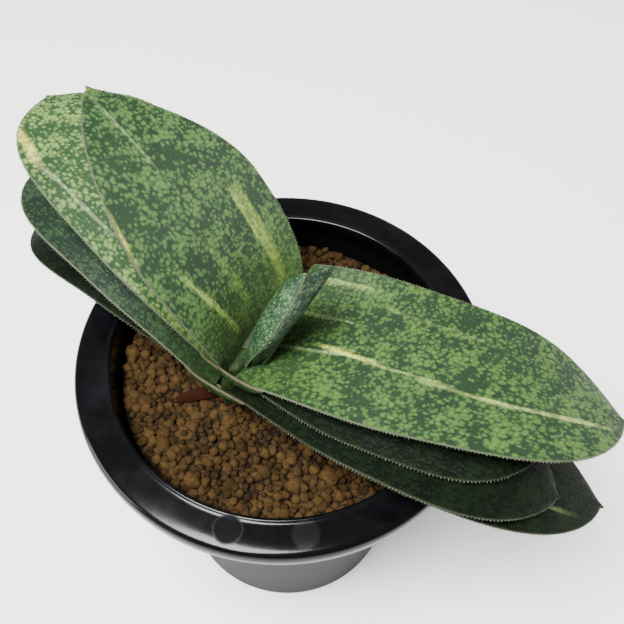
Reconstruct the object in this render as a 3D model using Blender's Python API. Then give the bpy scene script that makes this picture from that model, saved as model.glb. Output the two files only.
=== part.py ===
"""A gasteria with its blades in two stacks, growing in a round plastic pot.

Tables and driving sizes are in millimetres and degrees; the model is in metres, +Z up.
The origin is the middle of the pot's underside, on the surface that the pot stands on.
"""
import math
import random
from typing import NamedTuple

import bmesh
import bpy
import numpy as np
from mathutils import Vector
from mathutils.geometry import delaunay_2d_cdt

MM = 0.001
GAP = 0.3                       # air left between neighbouring pieces
CUT_PAST = 2.0                  # how far a cutter runs on past what it cuts
SHARP_ANGLE = 40.0              # edges that turn more than this stay sharp

# Pot, a thin injection moulding with a turned-over rim
POT_SIDES = 40
POT_HEIGHT = 111.0
RIM_RADIUS = 60.0
MOUTH_RADIUS = 49.3
FOOT_RADIUS = 37.6
WALL = 1.6
LIP_ROUND = 0.5                 # the bead round the mouth
LIP_WIDTH = 1.6
LIP_RISE = 0.7                  # the bead stands up this much above the rim
RIM_ROLL = 3.0                  # radius of the rim's outer edge
ROLL_STEPS = 3
SKIRT_DROP = 7.0                # how far the rim hangs down outside the wall
SKIRT_WALL = 1.4
SKIRT_DRAFT = 0.3               # the skirt draws in towards its foot
RIM_FILLET = 1.1                # where the rim's underside meets the wall
FLOOR_TOP = 3.0
RECESS = 1.5                    # the underside is raised this much inside the foot ring
PAD_RADIUS = 10.0               # centre pad, level with the foot ring
FOOT_RING = 7.0                 # how far the foot ring reaches in from the wall
FOOT_BEVEL = 1.0
RECESS_SLOPE = 0.8
DRAIN_HOLES = 5
DRAIN_RADIUS = 3.5
DRAIN_CIRCLE = 20.0
DRAIN_SIDES = 12
FOOT_NOTCHES = 4
NOTCH_WIDTH = 7.0

# Soil, baked clay granules up to a finger's width below the rim
SOIL_LEVEL = 99.8
SOIL_RELIEF = 0.45              # granules stand up or lie down by this much
GRANULE_STEP = 3.2
SOIL_SEED = 11

# Stem, a short column flattened between the two stacks, with its root stock in the soil
STEM_PLACE = (-4.5, 7.0)
STEM_TURN = -35.0               # compass of its thin way, from +X towards +Y
STEM_SIDES = 20
STEM_SECTIONS = (               # height, half its thickness, half its width
    (82.0, 3.0, 5.0),
    (90.0, 4.2, 8.5),
    (97.0, 5.2, 12.0),
    (103.0, 5.4, 13.0),
    (108.0, 5.0, 13.0),
    (112.0, 4.8, 12.5),
    (114.4, 4.5, 12.0),
)
STEM_TOP = 115.2
STEM_ROOT_POINT = 0.5           # how far its root end runs to a point

# Blades: what all of them share
ROW_CROWDING = 1.5              # above 1 the rows close up towards the tip
ACROSS = (-0.96, -0.66, -0.33, 0.0, 0.33, 0.66, 0.96)
EDGE_THINNING = 0.72            # share of the thickness lost from midrib to margin
UPPER_SHARE = 0.42              # of the thickness above the middle surface, the rest is keel
SWELL_END = 0.3                 # the blade is thickest from here on
UNCURL_END = 0.45               # the foot's curl round the stem has gone by here
TAPER_POWER = 0.86
SEAM = 0.25                     # half the slit where the feet of the two stacks meet


class Blade(NamedTuple):
    """Driving sizes of one blade; pairs run from its foot to its tip."""
    foot: tuple
    heading: tuple              # compass of the midrib
    rise: tuple                 # slope of the midrib above level
    twist: tuple                # turn about the midrib
    length: float
    half_width: float
    foot_share: float           # half width at the foot, as a share of half_width
    bluntness: float            # the higher, the later it narrows
    cup: tuple = (12.0, 2.0)    # how far its margins curl up
    tuck: float = 4.0           # how far it runs on behind its foot, towards the stem
    widest: float = 0.45        # share of the length where it is widest
    thickness: tuple = (2.6, 4.0, 2.0)      # foot, middle, tip
    mucro: float = 1.4          # horny point past the end
    rows: int = 25


BLADES = {
    "leaf_left_1": Blade((-8.5, 8.0, 116.0), (151, 132), (83, 5), (-3, 18),
                         84, 24.0, 0.85, 1.7, tuck=3.0),
    "leaf_left_2": Blade((-9.0, 10.0, 110.8), (146, 130), (57, -13), (-1, 9),
                         97, 23.5, 0.85, 4.1, tuck=2.0),
    "leaf_left_3": Blade((-11.5, 8.5, 106.8), (143, 139), (46, -21), (-1, 10),
                         88, 24.0, 0.90, 4.1, tuck=2.5),
    "leaf_left_4": Blade((-10.5, 10.0, 102.8), (143, 147), (33, -32), (-3, 8),
                         87, 23.5, 0.85, 4.1, cup=(10.0, 2.0), tuck=1.5),
    "leaf_right_1": Blade((1.0, 4.5, 115.2), (-31, -9), (29, -19), (6, -24),
                          98, 24.5, 0.90, 4.6, tuck=3.5),
    "leaf_right_2": Blade((0.0, 4.0, 110.8), (-36, -18), (28, -11), (3, -6),
                          82, 23.5, 0.80, 4.6, tuck=3.5),
    "leaf_right_3": Blade((-1.0, 2.5, 107.0), (-41.5, -26), (26.5, -13.5), (6, -24),
                          89.5, 23.0, 0.90, 4.6),
    "leaf_right_4": Blade((0.0, 3.5, 102.8), (-45, -15), (26, -18), (5, -24),
                          101, 22.0, 0.85, 4.6, cup=(10.0, 2.0)),
    "leaf_young_1": Blade((-7.8, 0.0, 117.1), (151, 175), (101.5, 122), (6, 12),
                          41.5, 8.4, 1.0, 1.8, cup=(9.0, 16.0), tuck=0.4, widest=0.25,
                          thickness=(1.8, 2.4, 1.4), mucro=0.6, rows=15),
    "leaf_young_2": Blade((-3.4, -0.3, 118.45), (-12, -2), (70, 62), (2, 10),
                          41.5, 8.2, 1.0, 1.6, cup=(1.0, 12.0), tuck=0.4, widest=0.25,
                          thickness=(1.8, 2.2, 1.4), mucro=0.6, rows=15),
}
DRY_BLADE = Blade((-16.0, -7.4, 101.0), (188, 198), (2, -3), (0, 10),
                  17, 2.2, 0.8, 2.5, cup=(20.0, 25.0), tuck=0.0,
                  thickness=(0.9, 0.9, 0.8), mucro=0.3, rows=12)

class Look(NamedTuple):
    """A piece's colour, as linear red, green and blue, and its roughness."""
    colour: tuple
    roughness: float


BLACK_PLASTIC = Look((0.012, 0.012, 0.013), 0.22)
BAKED_CLAY = Look((0.22, 0.12, 0.05), 0.95)
PALE_STEM = Look((0.30, 0.33, 0.14), 0.6)
LEAF_GREEN = Look((0.045, 0.095, 0.040), 0.45)
YOUNG_GREEN = Look((0.060, 0.130, 0.050), 0.45)
DRY_BROWN = Look((0.16, 0.055, 0.022), 0.7)


def clear_scene():
    """Empty the scene."""
    for item in list(bpy.data.objects):
        bpy.data.objects.remove(item, do_unlink=True)


def smooth(share):
    """Ease from 0 to 1."""
    share = np.clip(share, 0.0, 1.0)
    return share * share * (3.0 - 2.0 * share)


def unit(degrees):
    """The level direction at a compass angle."""
    return math.cos(math.radians(degrees)), math.sin(math.radians(degrees))


def make_object(name, bm):
    """Turn a bmesh drawn in millimetres into an object, faces outwards."""
    bmesh.ops.scale(bm, vec=(MM, MM, MM), verts=bm.verts)
    bmesh.ops.recalc_face_normals(bm, faces=bm.faces)
    mesh = bpy.data.meshes.new(name)
    bm.to_mesh(mesh)
    bm.free()
    mesh.shade_smooth()
    mesh.set_sharp_from_angle(angle=math.radians(SHARP_ANGLE))
    item = bpy.data.objects.new(name, mesh)
    bpy.context.collection.objects.link(item)
    return item


def finish(item, look):
    """Give a piece its own material."""
    material = bpy.data.materials.new(item.name)
    material.use_nodes = True
    shader = material.node_tree.nodes["Principled BSDF"]
    shader.inputs["Base Color"].default_value = (*look.colour, 1.0)
    shader.inputs["Roughness"].default_value = look.roughness
    shader.inputs["Metallic"].default_value = 0.0
    item.data.materials.clear()
    item.data.materials.append(material)


def cut(item, cutter):
    """Take a cutter's shape out of a piece."""
    cutter.hide_render = True
    cutter.display_type = "WIRE"
    boolean = item.modifiers.new("cut_" + cutter.name, "BOOLEAN")
    boolean.operation = "DIFFERENCE"
    boolean.solver = "EXACT"
    boolean.object = cutter


def loft(rings, bottom=None, top=None):
    """Skin rings of equal counts; an end is a point when one is given, else flat."""
    bm = bmesh.new()
    rows = [[bm.verts.new(point) for point in ring] for ring in rings]
    count = len(rows[0])
    for lower, upper in zip(rows, rows[1:]):
        for i in range(count):
            j = (i + 1) % count
            bm.faces.new((lower[i], lower[j], upper[j], upper[i]))
    for row, tip in ((rows[0], bottom), (rows[-1], top)):
        if tip is None:
            bm.faces.new(row)
            continue
        end = bm.verts.new(tip)
        for i in range(count):
            bm.faces.new((row[i], row[(i + 1) % count], end))
    return bm


def circle(radius, height, sides=POT_SIDES):
    """Points round the pot's axis."""
    turns = [math.tau * i / sides for i in range(sides)]
    return [(radius * math.cos(t), radius * math.sin(t), height) for t in turns]


def inner_radius(height):
    """Radius of the pot's inside at a height."""
    foot = FOOT_RADIUS - WALL
    return foot + (MOUTH_RADIUS - foot) * (height - FLOOR_TOP) / (POT_HEIGHT - FLOOR_TOP)


def arc(centre, radius, steps):
    """Profile points from straight above a centre round to its outer side."""
    turns = [math.pi / 2 * (1.0 - i / (steps - 1)) for i in range(steps)]
    return [(centre[0] + radius * math.cos(t), centre[1] + radius * math.sin(t)) for t in turns]


def pot_profile():
    """Radius and height down the inside, over the rim, down the wall and under the foot."""
    rim_top = POT_HEIGHT - LIP_RISE
    roll = (RIM_RADIUS - RIM_ROLL, rim_top - RIM_ROLL)
    skirt_foot = POT_HEIGHT - SKIRT_DROP
    wall_top = MOUTH_RADIUS + WALL
    under_rim = rim_top - SKIRT_WALL
    bowl = [
        (PAD_RADIUS, FLOOR_TOP),
        (FOOT_RADIUS - WALL, FLOOR_TOP),
        (MOUTH_RADIUS, POT_HEIGHT - LIP_ROUND),
        (MOUTH_RADIUS + LIP_ROUND, POT_HEIGHT),
        (MOUTH_RADIUS + LIP_WIDTH, rim_top),
    ]
    skirt = [
        (RIM_RADIUS - SKIRT_DRAFT, skirt_foot),
        (RIM_RADIUS - SKIRT_DRAFT - SKIRT_WALL, skirt_foot),
    ]
    rim_underside = arc(roll, RIM_ROLL - SKIRT_WALL, ROLL_STEPS)[::-1]
    wall_and_foot = [
        (wall_top + RIM_FILLET, under_rim),
        (wall_top, under_rim - RIM_FILLET),
        (FOOT_RADIUS, FOOT_BEVEL),
        (FOOT_RADIUS - FOOT_BEVEL, 0.0),
        (FOOT_RADIUS - FOOT_RING, 0.0),
        (FOOT_RADIUS - FOOT_RING - RECESS_SLOPE, RECESS),
        (PAD_RADIUS + RECESS_SLOPE, RECESS),
        (PAD_RADIUS, 0.0),
    ]
    return bowl + arc(roll, RIM_ROLL, ROLL_STEPS) + skirt + rim_underside + wall_and_foot


def make_pot():
    """The pot: a turned shell, with drain holes in its floor and notches in its foot."""
    pot = make_object("pot", loft([circle(*point) for point in pot_profile()]))
    finish(pot, BLACK_PLASTIC)
    drains = bmesh.new()
    for i in range(DRAIN_HOLES):
        east, north = unit(360.0 * i / DRAIN_HOLES)
        hole = bmesh.ops.create_cone(drains, cap_ends=True, segments=DRAIN_SIDES,
                                     radius1=DRAIN_RADIUS, radius2=DRAIN_RADIUS,
                                     depth=FLOOR_TOP - RECESS + 2.0 * CUT_PAST)
        place = (DRAIN_CIRCLE * east, DRAIN_CIRCLE * north, (RECESS + FLOOR_TOP) / 2)
        bmesh.ops.translate(drains, vec=place, verts=hole["verts"])
    cut(pot, make_object("drain_holes", drains))
    notches = bmesh.new()
    inside = FOOT_RADIUS - FOOT_RING - CUT_PAST
    outside = FOOT_RADIUS + CUT_PAST
    for i in range(FOOT_NOTCHES):
        east, north = unit(360.0 * (i + 0.5) / FOOT_NOTCHES)
        along = Vector((east, north, 0.0))
        across = Vector((-north, east, 0.0)) * NOTCH_WIDTH / 2
        corners = [along * inside - across, along * outside - across,
                   along * outside + across, along * inside + across]
        low = [notches.verts.new(corner - Vector((0, 0, CUT_PAST))) for corner in corners]
        high = [notches.verts.new(corner + Vector((0, 0, RECESS))) for corner in corners]
        notches.faces.new(low)
        notches.faces.new(high)
        for k in range(4):
            m = (k + 1) % 4
            notches.faces.new((low[k], low[m], high[m], high[k]))
    cut(pot, make_object("foot_notches", notches))


def make_soil():
    """The soil: fills the pot, with a top of granules at seeded heights."""
    rng = random.Random(SOIL_SEED)
    edge = inner_radius(SOIL_LEVEL) - GAP
    rings = int(edge // GRANULE_STEP)
    points = [Vector((0.0, 0.0))]
    for ring in range(1, rings):
        for k in range(6 * ring):
            turn = math.tau * (k + 0.5 * (ring % 2)) / (6 * ring)
            reach = ring * GRANULE_STEP
            points.append(Vector((reach * math.cos(turn), reach * math.sin(turn))))
    wall_start = len(points)
    points += [Vector(point[:2]) for point in circle(edge, 0.0)]
    heights = [SOIL_LEVEL + rng.uniform(-SOIL_RELIEF, SOIL_RELIEF) for _ in points[:wall_start]]
    heights += [SOIL_LEVEL - SOIL_RELIEF] * POT_SIDES
    flat, _, faces, origins, *_ = delaunay_2d_cdt(points, [], [], 0, 1e-6)
    bm = bmesh.new()
    top = [bm.verts.new((*place, heights[origin[0]])) for place, origin in zip(flat, origins)]
    for face in faces:
        bm.faces.new([top[i] for i in face])
    brim = {origin[0]: vert for vert, origin in zip(top, origins) if origin[0] >= wall_start}
    brim = [brim[wall_start + i] for i in range(POT_SIDES)]
    floor = FLOOR_TOP + GAP
    base = [bm.verts.new(point) for point in circle(inner_radius(floor) - GAP, floor)]
    bm.faces.new(base)
    for i in range(POT_SIDES):
        j = (i + 1) % POT_SIDES
        bm.faces.new((base[i], base[j], brim[j], brim[i]))
    soil = make_object("soil", bm)
    finish(soil, BAKED_CLAY)
    return soil


def stem_body(name, swell):
    """The stem's shape, made larger all round by swell."""
    thin, wide = unit(STEM_TURN), unit(STEM_TURN + 90.0)
    rings = []
    for height, half_thick, half_wide in STEM_SECTIONS:
        ring = []
        for i in range(STEM_SIDES):
            turn = math.tau * i / STEM_SIDES
            out = (half_thick + swell) * math.cos(turn)
            aside = (half_wide + swell) * math.sin(turn)
            ring.append((STEM_PLACE[0] + out * thin[0] + aside * wide[0],
                         STEM_PLACE[1] + out * thin[1] + aside * wide[1], height))
        rings.append(ring)
    low = (*STEM_PLACE, STEM_SECTIONS[0][0] - swell - STEM_ROOT_POINT)
    return make_object(name, loft(rings, bottom=low, top=(*STEM_PLACE, STEM_TOP + swell)))


def blade_lines(blade):
    """Shares along the blade, its middle line and the side and face directions there."""
    steps = 1.0 - (1.0 - np.arange(blade.rows) / blade.rows) ** ROW_CROWDING
    along = np.concatenate([[-blade.tuck / blade.length], steps, [1.0]])
    if blade.tuck == 0.0:
        along = along[1:]
    share = np.clip(along, 0.0, 1.0)
    heading, rise, twist = (np.radians(pair[0] + (pair[1] - pair[0]) * share)
                            for pair in (blade.heading, blade.rise, blade.twist))
    direction = np.stack([np.cos(rise) * np.cos(heading), np.cos(rise) * np.sin(heading),
                          np.sin(rise)], 1)
    level = np.stack([-np.sin(heading), np.cos(heading), 0.0 * heading], 1)
    upright = np.cross(direction, level)
    side = np.cos(twist)[:, None] * level + np.sin(twist)[:, None] * upright
    face = np.cross(direction, side)
    steps = np.diff(along)[:, None] * blade.length * (direction[1:] + direction[:-1]) / 2
    middle = np.concatenate([[(0.0, 0.0, 0.0)], np.cumsum(steps, 0)])
    start = 0 if blade.tuck == 0.0 else 1
    middle += np.array(blade.foot) - middle[start]
    return along, middle, direction, side, face


def half_widths(blade, along):
    """Half the blade's width at shares of its length."""
    growth = np.sin(np.clip(along / blade.widest, 0.0, 1.0) * math.pi / 2)
    past = np.clip((along - blade.widest) / (1.0 - blade.widest), 0.0, 1.0)
    taper = (1.0 - past ** blade.bluntness) ** TAPER_POWER
    return blade.half_width * (blade.foot_share + (1.0 - blade.foot_share) * growth) * taper


def blade_rings(blade):
    """Rings of points round the blade, and its tip."""
    along, middle, direction, side, face = blade_lines(blade)
    width = half_widths(blade, along)
    foot, body, tip = blade.thickness
    thick = foot + (body - foot) * smooth(along / SWELL_END)
    thick += (tip - body) * np.clip((along - SWELL_END) / (1.0 - SWELL_END), 0.0, 1.0)
    cup = np.radians(blade.cup[1] + (blade.cup[0] - blade.cup[1])
                     * (1.0 - smooth(along / UNCURL_END)))
    upper = [(u, UPPER_SHARE) for u in ACROSS]
    lower = [(u, UPPER_SHARE - 1.0) for u in reversed(ACROSS)]
    rings = []
    for row in range(len(along) - 1):
        ring = []
        for u, share in [(-1.0, 0.0), *upper, (1.0, 0.0), *lower]:
            place = middle[row] + width[row] * (u * math.cos(cup[row]) * side[row]
                                                + u * u * math.sin(cup[row]) * face[row])
            normal = face[row] - 2.0 * math.tan(cup[row]) * u * side[row]
            normal /= np.linalg.norm(normal)
            lift = share * thick[row] * (1.0 - EDGE_THINNING * u * u)
            ring.append(tuple(place + lift * normal))
        rings.append(ring)
    return rings, tuple(middle[-1] + blade.mucro * direction[-1])


def trim_to_seam(bm, stack):
    """Cut away a foot's part beyond the slit; stack is -1 on the left and 1 on the right."""
    out = Vector((*unit(STEM_TURN), 0.0)) * stack
    seam = Vector((*STEM_PLACE, 0.0)) + out * SEAM
    parts = bm.verts[:] + bm.edges[:] + bm.faces[:]
    found = bmesh.ops.bisect_plane(bm, geom=parts, plane_co=seam, plane_no=out,
                                   clear_inner=True)
    edges = [part for part in found["geom_cut"] if isinstance(part, bmesh.types.BMEdge)]
    if edges:
        bmesh.ops.holes_fill(bm, edges=edges, sides=0)


def make_blade(name, blade, look):
    """One blade, its foot trimmed to the slit between the stacks."""
    rings, tip = blade_rings(blade)
    bm = loft(rings, top=tip)
    if "left" in name:
        trim_to_seam(bm, -1.0)
    elif "right" in name:
        trim_to_seam(bm, 1.0)
    item = make_object(name, bm)
    finish(item, look)
    return item


def main():
    """Build the potted plant."""
    clear_scene()
    make_pot()
    soil = make_soil()
    finish(stem_body("stem", 0.0), PALE_STEM)
    stem_space = stem_body("stem_space", GAP)
    cut(soil, stem_space)
    for name, blade in BLADES.items():
        look = YOUNG_GREEN if "young" in name else LEAF_GREEN
        cut(make_blade(name, blade, look), stem_space)
    make_blade("dry_leaf", DRY_BLADE, DRY_BROWN)


main()
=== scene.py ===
import math
from typing import NamedTuple

import bmesh
import bpy
import numpy as np
from mathutils import Matrix, Vector


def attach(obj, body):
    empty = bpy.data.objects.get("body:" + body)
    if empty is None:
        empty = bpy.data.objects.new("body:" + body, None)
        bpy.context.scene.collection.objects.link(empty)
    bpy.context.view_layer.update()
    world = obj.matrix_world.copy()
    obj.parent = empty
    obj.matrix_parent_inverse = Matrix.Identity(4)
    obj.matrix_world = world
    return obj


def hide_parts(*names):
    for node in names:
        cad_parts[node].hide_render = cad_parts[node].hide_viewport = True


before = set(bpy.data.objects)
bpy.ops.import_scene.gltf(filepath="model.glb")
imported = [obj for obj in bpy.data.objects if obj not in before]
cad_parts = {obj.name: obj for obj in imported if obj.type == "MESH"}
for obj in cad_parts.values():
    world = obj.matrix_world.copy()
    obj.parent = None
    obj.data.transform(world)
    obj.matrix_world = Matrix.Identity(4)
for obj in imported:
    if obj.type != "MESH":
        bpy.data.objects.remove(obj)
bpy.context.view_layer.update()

# Lengths are millimetres and angles degrees until a mesh is made
MM = 0.001
BODY = "root"
SHARP_ANGLE = 50.0

# Camera, from where the photograph was taken
CAMERA_PLACE = (8.3, -131.8, 334.3)
CAMERA_TILT = 33.15
CAMERA_ROLL = 0.61
CAMERA_LENS = 51.9
SENSOR_WIDTH = 36.0
NEAREST_SEEN = 10.0

# Stage
FLOOR_SPAN = 6000.0
SURROUND = 0.5
LIGHT_TARGET = (0, 0, 100)
LIGHTS = (                      # name, place, side, watts
    ("overhead", (-220, -220, 1000), 420, 38),
    ("window", (-900, -250, 330), 500, 10),
    ("fill", (850, 250, 500), 700, 6),
)

# The stem's place, which the feet of the blades close round
STEM_PLACE = (-4.5, 7.0)
STEM_TURN = -35.0
SEAM = 0.25                     # half the slit between the two stacks
SEAM_TOP = 120.0                # the stacks stand clear of each other above this

# Pot
POT_SIDES = 160
POT_HEIGHT = 111.0
RIM_DROP = 0.7                  # from the pot's top down to the flat of its rim
RIM_RADIUS = 60.0
MOUTH_RADIUS = 49.3
FOOT_RADIUS = 37.6
WALL = 1.6
SKIRT_DROP = 7.0
SKIRT_WALL = 1.4
FLOOR_TOP = 3.0
RECESS = 1.5
PAD_RADIUS = 10.0
FOOT_RING = 7.0
DRAIN_HOLES = 5
DRAIN_RADIUS = 3.5
DRAIN_CIRCLE = 20.0
DRAIN_SIDES = 32
DRAIN_CUT = 4.0                 # a drain cutter's length, through the floor
FOOT_NOTCHES = 4
NOTCH_WIDTH = 7.0
NOTCH_PAST = 4.0                # how much longer a notch's cutter is than the ring is wide
WATER_STAINS = (                # place east and north of the axis, radius, dullness
    ((-12.9, -52.5), 4.3, 0.9),
    ((7.1, -53.6), 4.2, 0.3),
    ((37.3, 41.9), 4.4, 0.5),
)
STAIN_WAVE = 2.4                # how far a stain's outline wanders in all
STAIN_EDGE = 0.9

# Soil
SOIL_LEVEL = 99.8
SOIL_REACH = 46.4               # granules lie within this of the pot's axis
BED_SIDES = 64
GRANULE_SHAPES = 6
GRANULE_TRIES = 3000000.0       # points tried on a square metre before the close ones go
SHAPE_STEP = 7.3                # how far apart the granules' shapes are drawn in the noise
LUMPINESS = 1.8
DRY_LEAF_BED = (-24.0, -9.0, 99.8)

# Blades: what all of them share
ROW_CROWDING = 1.5
EDGE_THINNING = 0.72
UPPER_SHARE = 0.42
SWELL_END = 0.3
UNCURL_END = 0.45
TAPER_POWER = 0.86
UPPER_POINTS = 27
LOWER_POINTS = 15
MARGIN_START = 6                # the row above the foot where the free margin starts
TOOTH_SPACING = 0.95
TOOTH_RADIUS = 0.22
TOOTH_POINT = 0.06
TOOTH_HEIGHT = 0.42
TOOTH_LEAN = 0.35               # how far the teeth turn towards the blade's tip
SHEATH_STEPS = 30
SHEATH_SIDES = 12
SHEATH_DEPTH = 4.2
SHEATH_THICK = 1.3
SHEATH_START = 6.0              # where on a blade its sheath's colours are read from
CLASP_REACH = 14.0              # from the stem's middle to the clasped foot's
CLASP_FOOT = 99.0
CLASP_TOP = 115.0
CLASP_HALF_THICK = 4.0
CLASP_HALF_WIDE = 7.5
CLASP_RINGS = 14
CLASP_CROWN = 0.4               # the smaller, the squarer its top
FOLD_BULGE = 0.8
FOLD_REACH = 2.2                # how far its foot runs on, in lengths of three rows
OFF_MARGIN = 5.0                # farther from a margin than any horn reaches


class Blade(NamedTuple):
    """Driving sizes of one blade, as its solid has them; pairs run from foot to tip."""
    foot: tuple
    heading: tuple
    rise: tuple
    twist: tuple
    length: float
    half_width: float
    foot_share: float
    bluntness: float
    cup: tuple = (12.0, 2.0)
    tuck: float = 4.0
    widest: float = 0.45
    thickness: tuple = (2.6, 4.0, 2.0)
    mucro: float = 1.4
    rows: int = 84


class Grade(NamedTuple):
    """Sizes of one grade of granules, and how far it stays off the dry leaf's bed."""
    spacing: float
    smallest: float
    largest: float
    lift: float
    clear: float = 0.0


class Streak(NamedTuple):
    """A pale stripe in a blade's skin; places are (across, along) in millimetres."""
    start: tuple
    end: tuple
    half_width: float
    strength: float
    colour: str = "b9c46a"


class Skin(NamedTuple):
    """Colours of a blade's skin, and how strongly its dots show above and below."""
    dark: str = "102112"
    ground: str = "182f17"
    dot: str = "344f26"
    dot_middle: str = "46602f"
    foot_tint: str = "52683a"
    margin: str = "4a5239"
    margin_worn: str = "35382a"
    margin_width: float = 0.45
    tint_reach: float = 30.0
    tint_strength: float = 0.5
    upper_dots: float = 0.95
    lower_dots: float = 0.5
    spacing: float = 1.15       # between the raised dots
    stretch: float = 0.92
    gloss: float = 0.4


BLADES = {
    "leaf_left_1": Blade((-8.5, 8.0, 116.0), (151, 132), (83, 5), (-3, 18),
                         84, 24.0, 0.85, 1.7, tuck=3.0),
    "leaf_left_2": Blade((-9.0, 10.0, 110.8), (146, 130), (57, -13), (-1, 9),
                         97, 23.5, 0.85, 4.1, tuck=2.0),
    "leaf_left_3": Blade((-11.5, 8.5, 106.8), (143, 139), (46, -21), (-1, 10),
                         88, 24.0, 0.90, 4.1, tuck=2.5),
    "leaf_left_4": Blade((-10.5, 10.0, 102.8), (143, 147), (33, -32), (-3, 8),
                         87, 23.5, 0.85, 4.1, cup=(10.0, 2.0), tuck=1.5),
    "leaf_right_1": Blade((1.0, 4.5, 115.2), (-31, -9), (29, -19), (6, -24),
                          98, 24.5, 0.90, 4.6, tuck=3.5),
    "leaf_right_2": Blade((0.0, 4.0, 110.8), (-36, -18), (28, -11), (3, -6),
                          82, 23.5, 0.80, 4.6, tuck=3.5),
    "leaf_right_3": Blade((-1.0, 2.5, 107.0), (-41.5, -26), (26.5, -13.5), (6, -24),
                          89.5, 23.0, 0.90, 4.6),
    "leaf_right_4": Blade((0.0, 3.5, 102.8), (-45, -15), (26, -18), (5, -24),
                          101, 22.0, 0.85, 4.6, cup=(10.0, 2.0)),
}
YOUNG_BLADES = {
    "leaf_young_1": Blade((-7.8, 0.0, 117.1), (151, 175), (101.5, 122), (6, 12),
                          41.5, 8.4, 1.0, 1.8, cup=(9.0, 16.0), tuck=0.4, widest=0.25,
                          thickness=(1.8, 2.4, 1.4), mucro=0.6, rows=48),
    "leaf_young_2": Blade((-3.4, -0.3, 118.45), (-12, -2), (70, 62), (2, 10),
                          41.5, 8.2, 1.0, 1.6, cup=(1.0, 12.0), tuck=0.4, widest=0.25,
                          thickness=(1.8, 2.2, 1.4), mucro=0.6, rows=48),
}
DRY_BLADE = Blade((-16.0, -7.4, 101.0), (188, 198), (2, -3), (0, 10),
                  17, 2.2, 0.8, 2.5, cup=(20.0, 25.0), tuck=0.0,
                  thickness=(0.9, 0.9, 0.8), mucro=0.3, rows=40)

# Skins, from the lit blades to those in the stacks' shade; the shaded and deep skins are darker
# copies of the blades' own colours, with painted shade
PLAIN = Skin()
FRONT = Skin(dot="334e22", dot_middle="455f29", foot_tint="2b401e")
YELLOWED = Skin(dark="1a3018", ground="243f22", dot="526b36", dot_middle="6c8444",
                foot_tint="5c7832")
# Painted shade: a darker copy of the skin for the blades in the stacks' shade
SHADED = Skin(dark="0b180f", ground="122416", dot="253a1f", dot_middle="2f4829",
              foot_tint="2d3e1b", margin="4c533c", margin_worn="343724", upper_dots=0.6,
              lower_dots=0.35)
# Painted shade: a near-black copy of the skin for the blades deep under the stacks
DEEP_PAINTED_SHADE = SHADED._replace(dark="040905", ground="070f07", dot="0e1709", dot_middle="131d0d",
                       foot_tint="11190a", margin="2c3021", margin_worn="1d1f15", gloss=0.12)
YOUNG = Skin(dark="112718", ground="18341e", dot="365232", dot_middle="566c4e",
             foot_tint="2c4724", margin="5c663f", margin_worn="465031", tint_strength=0.15,
             lower_dots=1.0, margin_width=0.25, spacing=0.5, stretch=0.4)
SKINS = {
    "leaf_left_1": PLAIN,
    "leaf_left_2": YELLOWED,
    "leaf_left_3": SHADED,
    "leaf_left_4": DEEP_PAINTED_SHADE,
    "leaf_right_1": FRONT,
    "leaf_right_2": DEEP_PAINTED_SHADE,
    "leaf_right_3": DEEP_PAINTED_SHADE,
    "leaf_right_4": DEEP_PAINTED_SHADE,
    "leaf_young_1": YOUNG,
    # Painted shade: the second young blade's skin is a darker copy, for its side turned away from
    # the light
    "leaf_young_2": YOUNG._replace(dark="0b1a10", ground="102416", dot="2c4029",
                                   dot_middle="46573f", foot_tint="1d3018",
                                   margin="2c3822", margin_worn="1f2818"),
}
SHEATH = Skin(ground="17220f", foot_tint="2a3616", margin="57543a", margin_worn="38322a",
              margin_width=0.55, upper_dots=0.3, gloss=0.15)
STREAKS = {
    "leaf_left_1": (
        Streak((1.9, 80.0), (1.6, 55.0), 0.8, 0.7, "6b7e55"),
        Streak((-14.2, 38.0), (-13.4, 4.0), 2.2, 0.8, "738a3a"),
        Streak((-12.6, 40.0), (-12.0, 20.0), 0.9, 0.8, "829446"),
        Streak((15.4, 33.0), (8.0, 4.0), 1.3, 0.8, "7b9045"),
        Streak((20.0, 55.0), (23.2, 41.0), 0.9, 0.9, "8d9141"),
        Streak((3.4, 34.0), (1.0, 8.0), 1.8, 0.4, "69803c"),
    ),
    "leaf_right_1": (
        Streak((-6.0, 0.0), (-4.0, 32.0), 0.8, 0.7, "738a59"),
        Streak((-3.2, 14.0), (-4.6, 32.0), 1.1, 1.0, "a2ab48"),
        Streak((-5.0, 30.0), (-8.3, 66.0), 1.0, 0.65, "788b48"),
        Streak((-8.0, 58.0), (-5.8, 92.0), 1.1, 0.85, "869355"),
        Streak((17.8, 3.0), (18.6, 23.0), 1.4, 0.75, "778e46"),
        Streak((6.8, 1.0), (6.0, 24.0), 0.8, 0.5, "738a55"),
        Streak((13.5, 26.0), (12.0, 60.0), 0.9, 0.3, "6a7f44"),
    ),
    "leaf_left_2": (
        Streak((14.8, 88.0), (18.2, 72.0), 2.2, 1.0, "b0b252"),
        Streak((18.4, 74.0), (16.6, 46.0), 0.8, 0.7, "8c9a70"),
    ),
    "leaf_right_4": (
        Streak((-10.0, 60.0), (-8.0, 92.0), 1.1, 0.6, "525c3b"),
    ),
}


def linear(colour):
    """An sRGB hex colour as the linear red, green, blue and alpha that shaders take."""
    values = [int(colour[i:i + 2], 16) / 255 for i in (0, 2, 4)]
    return (*(v / 12.92 if v <= 0.04045 else ((v + 0.055) / 1.055) ** 2.4 for v in values), 1.0)


def add(tree, kind, inputs=None, **settings):
    """Add a node; inputs maps sockets, by name or number, to values or to feeding sockets."""
    item = tree.nodes.new(kind)
    for name, value in settings.items():
        setattr(item, name, value)
    for key, value in (inputs or {}).items():
        if isinstance(value, bpy.types.NodeSocket):
            tree.links.new(value, item.inputs[key])
        else:
            item.inputs[key].default_value = value
    return item


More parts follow.
